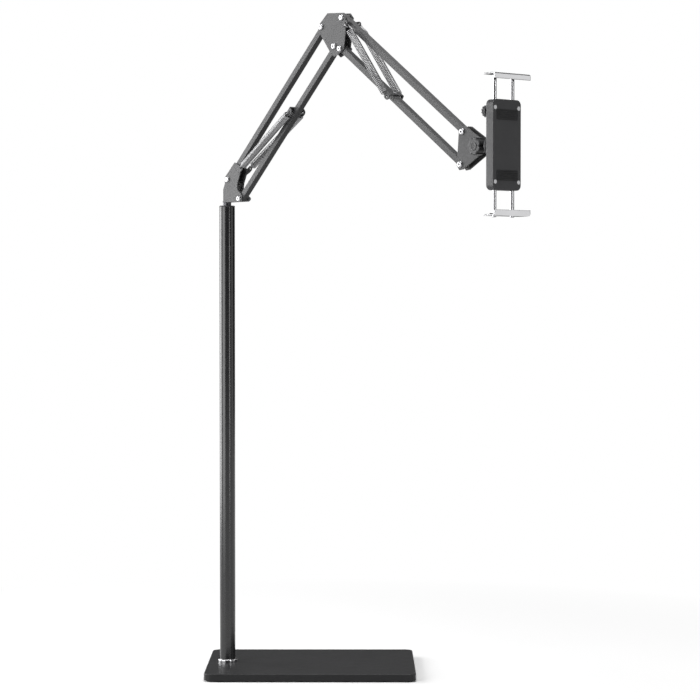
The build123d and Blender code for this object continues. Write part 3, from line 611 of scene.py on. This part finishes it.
@dataclass
class Springs:
    """The two springs of one arm, each a close coil with a hook at each end."""

    plane: ArmPlane
    arm: str
    first_body: str
    last_body: str
    first_eye: tuple[float, float]
    last_eye: tuple[float, float]
    turns: int
    bend_share: float = 0.85
    first_side: float = 12.4 * MM
    last_side: float = 12.4 * MM
    wire: float = 0.7 * MM
    coil: float = 4.8 * MM
    hook: float = 3.6 * MM
    first_lead: float = 3.6 * MM
    last_lead: float = 2.0 * MM
    hook_foot: float = 0.8 * MM
    hook_sweep: float = 1.5 * math.pi
    hook_steps: int = 26
    easing_steps: int = 12
    easing_reach: float = 1.1
    steps: int = 18
    sides: int = 8

    def wire_path(self, way: int) -> Points:
        """Return the middle of one spring's wire, from hook to hook.

        Args:
            way: 1 for the near spring and -1 for the far one.

        Returns:
            Points along the wire.
        """
        start = self.plane.point(self.first_eye, way * self.first_side)
        end = self.plane.point(self.last_eye, way * self.last_side)
        length = float(np.linalg.norm(end - start))
        axis = (end - start) / length
        third = np.cross(axis, self.plane.side)
        third = third / np.linalg.norm(third)
        across = np.cross(third, axis)
        middle = self.hook_foot + self.hook
        coil_start = middle + self.first_lead
        sweep = np.linspace(0, self.hook_sweep, self.hook_steps)
        first = arc_points(start + axis * middle, axis * self.hook, across * self.hook, sweep)
        last = arc_points(end - axis * middle, -axis * self.hook, across * self.hook, sweep)
        angles = np.linspace(0, 2 * math.pi * self.turns, self.turns * self.steps + 1)
        run = (length - coil_start - middle - self.last_lead) / angles[-1]
        spokes = np.sin(angles)[:, None] * third - np.cos(angles)[:, None] * across
        helix = start + axis * (coil_start + run * angles)[:, None] + spokes * self.coil
        climb_in = self.easing(first[-1], axis, helix[0], third)
        climb_out = self.easing(helix[-1], third, last[-1], axis)
        return np.concatenate((first, climb_in, helix, climb_out, last[::-1]))

    def easing(self, start: Points, leave: Points, end: Points, arrive: Points) -> Points:
        """Return a smooth run between two points, with the ends left out.

        Args:
            start: Where the run starts.
            leave: The direction in which it leaves.
            end: Where it ends.
            arrive: The direction in which it arrives.

        Returns:
            The points between the two.
        """
        reach = self.easing_reach * float(np.linalg.norm(end - start))
        share = np.linspace(0, 1, self.easing_steps)[1:-1, None]
        return (
            start * (2 * share**3 - 3 * share**2 + 1)
            + leave * reach * (share**3 - 2 * share**2 + share)
            + end * (3 * share**2 - 2 * share**3)
            + arrive * reach * (share**3 - share**2)
        )

    def build(self) -> None:
        """Make the arm's two springs, each coiled from one piece's eye to the other's."""
        first = self.plane.point(self.first_eye)
        last = self.plane.point(self.last_eye)
        for way, word in ((1, "near"), (-1, "far")):
            mesh = Mesh()
            mesh.loops(tube_rings(self.wire_path(way), self.wire, self.sides))
            spring = mesh.piece(f"{self.arm}_coil_{word}", SPRING_WIRE)
            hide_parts(f"{self.arm}_spring_{word}")
            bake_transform(spring)


@dataclass
class Fasteners:
    """The threads that stand out of the lock nuts, and the nylon rings inside them."""

    plane: ArmPlane
    group: str
    body: str
    places: list[tuple[float, float]]
    bolt: float = 2.5 * MM
    face: float = 12.5 * MM
    end: float = 14.3 * MM
    pitch: float = 0.6 * MM
    ridge: float = 0.2 * MM
    ring_inner: float = 2.45 * MM
    ring_outer: float = 3.15 * MM
    ring_rise: float = 0.25 * MM
    ring_edge: float = 0.1 * MM
    ring_steps: int = 32
    thread_steps: int = 20
    ridge_sides: int = 6

    def thread(self, place: tuple[float, float]) -> Points:
        """Return the rings of the thread on one bolt's end."""
        span = self.end - self.face - 2 * self.ridge
        turns = span / self.pitch
        angles = np.linspace(0, 2 * math.pi * turns, int(turns * self.thread_steps))
        third = np.array((0.0, 0.0, 1.0))
        start = self.plane.point(place, -self.face - self.ridge)
        path = arc_points(start, self.plane.out * self.bolt, third * self.bolt, angles)
        path = path - self.plane.side * (span * angles / angles[-1])[:, None]
        return tube_rings(path, self.ridge, self.ridge_sides)

    def ring(self, place: tuple[float, float]) -> Points:
        """Return the rings of points that lathe one nylon insert."""
        turns = np.linspace(0, 2 * math.pi, self.ring_steps, endpoint=False)
        profile = (
            (self.ring_inner, 0.0),
            (self.ring_inner, self.ring_rise - self.ring_edge),
            (self.ring_inner + self.ring_edge, self.ring_rise),
            (self.ring_outer - self.ring_edge, self.ring_rise),
            (self.ring_outer, self.ring_rise - self.ring_edge),
            (self.ring_outer, 0.0),
        )
        up = np.array((0.0, 0.0, 1.0))
        rings = []
        for turn in turns:
            spoke = self.plane.out * math.cos(turn) + up * math.sin(turn)
            rings.append(
                [
                    self.plane.point(place, -self.face - rise) + spoke * radius
                    for radius, rise in profile
                ]
            )
        return np.array(rings)

    def build(self) -> None:
        """Make the threads and the nylon rings of one group of bolts."""
        threads, rings = Mesh(), Mesh()
        for place in self.places:
            threads.loops(self.thread(place))
            rings.loops(self.ring(place), closed=True)
        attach(threads.piece(f"{self.group}_bolt_threads", ZINC), self.body)
        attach(rings.piece(f"{self.group}_nut_inserts", NYLON), self.body)


@dataclass
class Arms:
    """The bracket, both arms, the elbow and their springs and fasteners."""

    plane: ArmPlane
    bracket_ear: tuple[float, float] = (38.5 * MM, 15.7 * MM)
    bracket_ear_side: float = 8.7 * MM
    elbow_ear: tuple[float, float] = (16.5 * MM, -10.0 * MM)
    lower_clip: float = 183.0 * MM
    upper_clip: float = 136.0 * MM
    lower_turns: int = 84
    upper_turns: int = 42
    upper_lead: float = 11.0 * MM
    upper_bend_share: float = 0.5

    def clip_eye(
        self, start: tuple[float, float], end: tuple[float, float], length: float
    ) -> tuple[float, float]:
        """Return the place of a clip's eye beside the bar from one pivot to another."""
        share = length / math.dist(start, end)
        return (
            start[0] + (end[0] - start[0]) * share,
            start[1] + (end[1] - start[1]) * share,
        )

    def build(self) -> None:
        """Dress the arms' nodes, and make their springs and fasteners."""
        plane = self.plane
        dress(BLACK_OXIDE, "swivel_pin")
        dress(ARM_ENAMEL, "lower_bracket", "elbow_plate_near", "elbow_plate_far")
        dress(ARM_ENAMEL, "lower_arm_top_bar", "lower_arm_bottom_bar", "lower_spring_clip")
        dress(ARM_ENAMEL, "upper_arm_top_bar", "upper_arm_bottom_bar", "upper_spring_clip")
        dress(ZINC, "lower_clip_screw", "upper_clip_screw")
        for group in ("lower_pivot", "elbow", "head"):
            dress(ZINC, f"{group}_bolts")
            dress(BLACK_OXIDE, f"{group}_nuts")
        for bar in ("lower_top", "lower_bottom", "upper_top", "upper_bottom"):
            dress(NYLON, f"{bar}_bar_bushes")
        lower_eye = (
            plane.lower_top[0] + self.bracket_ear[0],
            plane.lower_top[1] + self.bracket_ear[1],
        )
        upper_eye = (
            plane.upper_top[0] + self.elbow_ear[0],
            plane.upper_top[1] + self.elbow_ear[1],
        )
        Springs(
            plane,
            "lower",
            "turret",
            "lower_link_bottom",
            lower_eye,
            self.clip_eye(plane.lower_bottom, plane.elbow_bottom, self.lower_clip),
            turns=self.lower_turns,
            first_side=self.bracket_ear_side,
        ).build()
        Springs(
            plane,
            "upper",
            "elbow",
            "upper_link_bottom",
            upper_eye,
            self.clip_eye(plane.upper_bottom, plane.head_bottom, self.upper_clip),
            turns=self.upper_turns,
            bend_share=self.upper_bend_share,
            first_lead=self.upper_lead,
        ).build()
        Fasteners(
            plane, "lower_pivot", "turret", [plane.lower_top, plane.lower_bottom]
        ).build()
        Fasteners(
            plane,
            "elbow",
            "elbow",
            [plane.elbow_top, plane.elbow_bottom, plane.upper_top, plane.upper_bottom],
        ).build()
        Fasteners(plane, "head", "head", [plane.head_top, plane.head_bottom]).build()


@dataclass
class Head:
    """The head plates, the tilt bolt with its knob, and the knuckle."""

    plane: ArmPlane
    knob_face: float = 18.8 * MM
    cap_radius: float = 6.0 * MM
    cap_rise: float = 0.7 * MM
    cap_edge: float = 0.35 * MM
    cap_rim_share: float = 0.62
    cap_dish_share: float = 0.58
    cap_sides: int = 48

    def build(self) -> None:
        """Dress the head's nodes and make the cap of the tilt knob."""
        dress(ARM_ENAMEL, "head_plate_near", "head_plate_far")
        dress(ZINC, "tilt_bolt", "holder_stud", "holder_nut", "holder_washers")
        dress(MOULDED, "tilt_knob")
        dress(KNUCKLE_ALLOY, "tilt_knuckle")
        turns = np.linspace(0, 2 * math.pi, self.cap_sides, endpoint=False)
        up = np.array((0.0, 0.0, 1.0))
        rings = []
        for radius, rise in (
            (self.cap_radius, 0.0),
            (self.cap_radius, self.cap_rise - self.cap_edge),
            (self.cap_radius - self.cap_edge, self.cap_rise),
            (self.cap_radius * self.cap_rim_share, self.cap_rise),
            (self.cap_radius * self.cap_dish_share, self.cap_rise - self.cap_edge),
        ):
            centre = self.plane.point(self.plane.tilt, self.knob_face + rise)
            rings.append(
                arc_points(centre, self.plane.out * radius, up * radius, turns)
            )
        mesh = Mesh()
        mesh.loops(np.array(rings))
        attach(mesh.piece("tilt_knob_cap", GLOSS_CAP), "tilt_handle")


@dataclass
class Holder:
    """The holder's housing, pads, jaws with their ribbed grips, and thumb screws."""

    plane: ArmPlane
    cover_front: float = 45.5 * MM
    lip_inner: float = 54.5 * MM
    jaw_rise: float = 94.0 * MM
    jaw_sheet: float = 2.0 * MM
    jaw_lip: float = 8.0 * MM
    grip: float = 1.2 * MM
    grip_setback: float = 1.2 * MM
    grip_half_width: float = 31.3 * MM
    grip_bend: float = 0.8 * MM
    grip_steps: int = 100
    bend_steps: int = 10
    soft_edge: float = 0.25 * MM
    end_share: float = 0.7
    rib_pitch: float = 1.1 * MM
    rib_depth: float = 0.4 * MM
    rib_flatness: float = 1.4
    pad_width: float = 38.0 * MM
    pad_band: float = 14.0 * MM
    pad_thickness: float = 1.0 * MM
    pad_corner: float = 2.0 * MM
    pad_rise: float = 40.0 * MM
    pad_ribs: int = 6

    def spot(self, out: float, rise: float, side: float = 0.0) -> Points:
        """Return the point at lengths out and up from the tilt pivot."""
        tilt = self.plane.tilt
        return self.plane.point((tilt[0] + out, tilt[1] + rise), side)

    def grip_path(self, way: int) -> tuple[Points, Points]:
        """Return the middle line of one grip and its inward normals, out and up."""
        level = self.jaw_rise - self.jaw_sheet - self.grip / 2
        lip = self.lip_inner - self.grip / 2
        tip = self.jaw_rise - self.jaw_lip + self.grip_setback
        run = np.linspace(self.cover_front, lip - self.grip_bend, self.grip_steps)
        drop = np.linspace(level - self.grip_bend, tip, self.grip_steps // 2)
        turns = np.linspace(math.pi / 2, 0, self.bend_steps)[1:-1]
        centre = np.array((lip - self.grip_bend, level - self.grip_bend))
        bend = centre + self.grip_bend * np.stack((np.cos(turns), np.sin(turns)), axis=1)
        line = np.concatenate(
            (
                np.stack((run, np.full_like(run, level)), axis=1),
                bend,
                np.stack((np.full_like(drop, lip), drop), axis=1),
            )
        )
        inward = np.concatenate(
            (
                np.tile((0.0, -1.0), (len(run), 1)),
                -np.stack((np.cos(turns), np.sin(turns)), axis=1),
                np.tile((-1.0, 0.0), (len(drop), 1)),
            )
        )
        flip = np.array((1.0, float(way)))
        return line * flip, inward * flip

    def make_grip(self, way: int, word: str, body: str) -> None:
        """Make the ribbed rubber grip of one jaw.

        Args:
            way: 1 for the upper jaw and -1 for the lower one.
            word: The jaw's name.
            body: The body that it rides on.
        """
        line, inward = self.grip_path(way)
        lengths = np.concatenate(
            ((0.0,), np.cumsum(np.linalg.norm(np.diff(line, axis=0), axis=1)))
        )
        wave = np.cos(2 * math.pi * lengths / self.rib_pitch)
        groove = self.rib_depth * np.clip(0.5 - self.rib_flatness * wave, 0.0, 1.0)
        inner = line + inward * (self.grip / 2 - groove)[:, None]
        outer = line - inward * self.grip / 2
        outline = np.concatenate((inner, outer[::-1]))
        rings = []
        middle = np.concatenate((line, line[::-1]))
        half = self.grip_half_width
        full = half - self.soft_edge
        for side in (-half, -full, full, half):
            share = 1.0 if abs(side) == full else self.end_share
            shape = middle + (outline - middle) * share
            rings.append([self.spot(out, rise, side) for out, rise in shape])
        mesh = Mesh()
        mesh.loops(np.array(rings), capped=False)
        count = len(line)
        for base in (0, 3 * 2 * count):
            for place in range(count - 1):
                other = 2 * count - 1 - place
                mesh.faces.append(
                    (base + place, base + place + 1, base + other - 1, base + other)
                )
        piece = mesh.piece(f"{word}_jaw_grip", RUBBER)
        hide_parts(f"{word}_jaw_liner")
        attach(piece, body)

    def slab(
        self, mesh: Mesh, rise: float, size: tuple[float, float, float], depths: tuple
    ) -> None:
        """Add one flat slab with a soft edge in front of the cover.

        Args:
            mesh: The mesh that takes it.
            rise: Its height over the tilt pivot.
            size: Its width, height and corner radius.
            depths: Where it starts and ends, from the cover's front.
        """
        back, front = depths
        edge = min(self.soft_edge, (front - back) / 2)
        rings = []
        for depth, inset in ((back, 0.0), (front - edge, 0.0), (front, edge)):
            outline = rounded_outline(
                size[0] - 2 * inset, size[1] - 2 * inset, size[2] - inset
            )
            rings.append(
                [self.spot(self.cover_front + depth, rise + up, x) for x, up in outline]
            )
        mesh.loops(np.array(rings))

    def make_pads(self) -> None:
        """Make the two ribbed rubber pads on the cover."""
        mesh = Mesh()
        skin = self.pad_thickness - self.rib_depth
        pitch = self.pad_band / self.pad_ribs
        for middle in (self.pad_rise, -self.pad_rise):
            self.slab(mesh, middle, (self.pad_width, self.pad_band, self.pad_corner), (0, skin))
            for rib in range(self.pad_ribs):
                rise = middle + (rib - (self.pad_ribs - 1) / 2) * pitch
                width = self.pad_width - 4 * self.rib_depth
                height = pitch - 1.5 * self.rib_depth
                size = (width, height, height / 2.2)
                self.slab(mesh, rise, size, (skin, self.pad_thickness))
        pads = mesh.piece("holder_ribbed_pads", RUBBER)
        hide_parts("holder_pads")
        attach(pads, "holder")

    def build(self) -> None:
        """Dress the holder's nodes, and make its grips and pads."""
        dress(MOULDED, "holder_housing", "holder_cover", "upper_lock_screw", "lower_lock_screw")
        dress(ZINC, "holder_cover_screws", "upper_jaw_screws", "lower_jaw_screws")
        dress(CHROME, "upper_jaw", "lower_jaw")
        dress(ROD_CHROME, "upper_jaw_rods", "lower_jaw_rods")
        self.make_grip(1, "upper", "top_clamp")
        self.make_grip(-1, "lower", "bottom_clamp")
        self.make_pads()


@dataclass(frozen=True)
class Lamp:
    """One soft lamp of the studio."""

    name: str
    place: Colour
    aim: Colour
    width: float
    height: float
    power: float

    def build(self) -> None:
        """Put the lamp in the scene."""
        data = bpy.data.lights.new(self.name, "AREA")
        data.shape = "RECTANGLE"
        data.size, data.size_y = self.width, self.height
        data.energy = self.power
        lamp = bpy.data.objects.new(self.name, data)
        lamp.location = self.place
        way = Vector(self.aim) - Vector(self.place)
        lamp.rotation_euler = way.to_track_quat("-Z", "Y").to_euler()
        bpy.context.scene.collection.objects.link(lamp)


@dataclass(frozen=True)
class Card:
    """One dark card of the studio, which shows only as a reflection in gloss."""

    name: str
    place: Colour
    width: float
    height: float
    hung: bool = False
    shade: float = 0.02

    def build(self) -> None:
        """Stand the card up, turned to the middle of the floor, or hang it flat."""
        place = Vector(self.place)
        across = Vector((-place.y, place.x, 0.0)).normalized() * self.width / 2
        up = Vector((0.0, 0.0, self.height / 2))
        if self.hung:
            across, up = Vector((self.width / 2, 0, 0)), Vector((0, self.height / 2, 0))
        corners = [place - across - up, place + across - up, place + across + up]
        corners.append(place - across + up)
        data = bpy.data.meshes.new(self.name)
        data.from_pydata([tuple(corner) for corner in corners], [], [(0, 1, 2, 3)])
        graph = Graph(self.name)
        shade = self.shade
        graph.shader.inputs["Base Color"].default_value = (shade, shade, shade, 1.0)
        graph.shader.inputs["Roughness"].default_value = 1.0
        data.materials.append(graph.material)
        card = bpy.data.objects.new(self.name, data)
        card.visible_camera = False
        card.visible_diffuse = False
        card.visible_shadow = False
        bpy.context.scene.collection.objects.link(card)


@dataclass
class Studio:
    """The pale floor, the white surroundings, the lamps and the camera."""

    floor_radius: float = 30.0
    floor_colour: Colour = (0.94, 0.94, 0.94)
    floor_bounce: Colour = (0.2, 0.2, 0.2)
    fade_start: float = 0.3
    fade_end: float = 1.1
    ambient: float = 0.15
    focal_pixels: float = 2200.0
    picture_pixels: float = 700.0
    sensor: float = 36.0
    camera_place: Colour = (0.0677, -3.4089, 0.5848)
    pitch: float = 0.02584
    yaw: float = -0.0022
    lamps: tuple[Lamp, ...] = (
        Lamp("left_back_softbox", (-2.4, 0.8, 1.0), (0.0, -0.1, 0.8), 1.5, 2.2, 66.0),
        Lamp("left_front_softbox", (-1.7, -1.4, 0.9), (0.0, -0.1, 0.8), 1.5, 2.2, 32.0),
        Lamp("right_front_strip", (1.8, -2.4, 1.0), (0.0, 0.0, 0.6), 0.4, 2.0, 16.0),
        Lamp("top_softbox", (0.2, -0.4, 3.0), (0.0, 0.0, 0.0), 2.4, 2.4, 68.0),
    )
    cards: tuple[Card, ...] = (
        Card("front_card", (-0.9, -5.0, 1.5), 5.0, 4.0),
        Card("right_front_card", (3.6, -4.2, 1.5), 5.0, 4.0),
        Card("right_back_card", (4.6, 3.0, 1.5), 6.0, 4.0),
        Card("back_card", (0.0, 6.0, 1.4), 5.0, 3.0),
        Card("ceiling_card", (0.0, 0.0, 3.3), 5.6, 5.6, hung=True),
    )

    def seen(self, tree: bpy.types.NodeTree) -> bpy.types.NodeSocket:
        """Return 1 for the rays that see the background: from the camera, gloss and glass."""
        path = tree.nodes.new("ShaderNodeLightPath")
        total = path.outputs["Is Camera Ray"]
        for name in ("Is Glossy Ray", "Is Transmission Ray"):
            both = tree.nodes.new("ShaderNodeMath")
            both.operation = "MAXIMUM"
            tree.links.new(total, both.inputs[0])
            tree.links.new(path.outputs[name], both.inputs[1])
            total = both.outputs["Value"]
        return total

    def build_world(self) -> None:
        """Make the white surroundings."""
        world = bpy.data.worlds.new("white_surroundings")
        world.use_nodes = True
        tree = world.node_tree
        background = tree.nodes["Background"]
        background.inputs["Color"].default_value = (1.0, 1.0, 1.0, 1.0)
        level = tree.nodes.new("ShaderNodeMapRange")
        tree.links.new(self.seen(tree), level.inputs["Value"])
        level.inputs["To Min"].default_value = self.ambient
        level.inputs["To Max"].default_value = 1.0
        tree.links.new(level.outputs["Result"], background.inputs["Strength"])
        bpy.context.scene.world = world

    def build_floor(self) -> None:
        """Make the floor, which fades into the white surroundings."""
        graph = Graph("pale_floor")
        graph.shader.inputs["Roughness"].default_value = 0.9
        graph.shader.inputs["Specular IOR Level"].default_value = 0.0
        grain = graph.noise(0.004, 3.0)
        pale = graph.blend(grain, self.floor_colour, tuple(c * 0.99 for c in self.floor_colour))
        seen = self.seen(graph.tree)
        graph.join(graph.blend(seen, self.floor_bounce, pale), graph.shader.inputs["Base Color"])
        length = graph.add("ShaderNodeVectorMath", operation="LENGTH")
        graph.join(graph.place, length.inputs[0])
        fade = graph.spread(
            length.outputs["Value"], 0.0, 1.0, self.fade_start, self.fade_end
        )
        share = graph.math("MULTIPLY", fade, seen)
        glow = graph.add("ShaderNodeEmission")
        mix = graph.add("ShaderNodeMixShader")
        graph.join(share, mix.inputs["Fac"])
        graph.join(graph.shader.outputs["BSDF"], mix.inputs[1])
        graph.join(glow.outputs["Emission"], mix.inputs[2])
        output = next(node for node in graph.tree.nodes if node.type == "OUTPUT_MATERIAL")
        graph.join(mix.outputs["Shader"], output.inputs["Surface"])
        turns = np.linspace(0, 2 * math.pi, 96, endpoint=False)
        rim = self.floor_radius * np.stack(
            (np.cos(turns), np.sin(turns), np.zeros_like(turns)), axis=1
        )
        data = bpy.data.meshes.new("studio_floor")
        data.from_pydata(rim.tolist(), [], [tuple(range(len(rim)))])
        data.materials.append(graph.material)
        floor = bpy.data.objects.new("studio_floor", data)
        bpy.context.scene.collection.objects.link(floor)

    def build_camera(self) -> None:
        """Put the camera where the photograph was taken from."""
        data = bpy.data.cameras.new("camera")
        data.sensor_fit = "HORIZONTAL"
        data.sensor_width = self.sensor
        data.lens = self.focal_pixels / self.picture_pixels * self.sensor
        data.clip_end = 100.0
        camera = bpy.data.objects.new("camera", data)
        camera.location = self.camera_place
        ahead = Vector(
            (
                math.sin(self.yaw) * math.cos(self.pitch),
                math.cos(self.yaw) * math.cos(self.pitch),
                -math.sin(self.pitch),
            )
        )
        camera.rotation_euler = ahead.to_track_quat("-Z", "Y").to_euler()
        bpy.context.scene.collection.objects.link(camera)
        bpy.context.scene.camera = camera

    def build(self) -> None:
        """Make the whole studio."""
        self.build_world()
        self.build_floor()
        for fitting in (*self.lamps, *self.cards):
            fitting.build()
        self.build_camera()
        bpy.context.scene.view_settings.view_transform = "Standard"
        log.info("studio ready")


def clear_scene() -> None:
    """Remove what a new scene holds."""
    for old in list(bpy.data.objects):
        bpy.data.objects.remove(old)


def main() -> None:
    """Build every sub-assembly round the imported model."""
    logging.basicConfig(level=logging.INFO, format="%(message)s")
    clear_scene()
    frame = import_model()
    plane = ArmPlane.from_joints(frame["joints"])
    Stand().build()
    Arms(plane).build()
    Head(plane).build()
    Holder(plane).build()
    Studio().build()


if __name__ == "__main__":
    main()
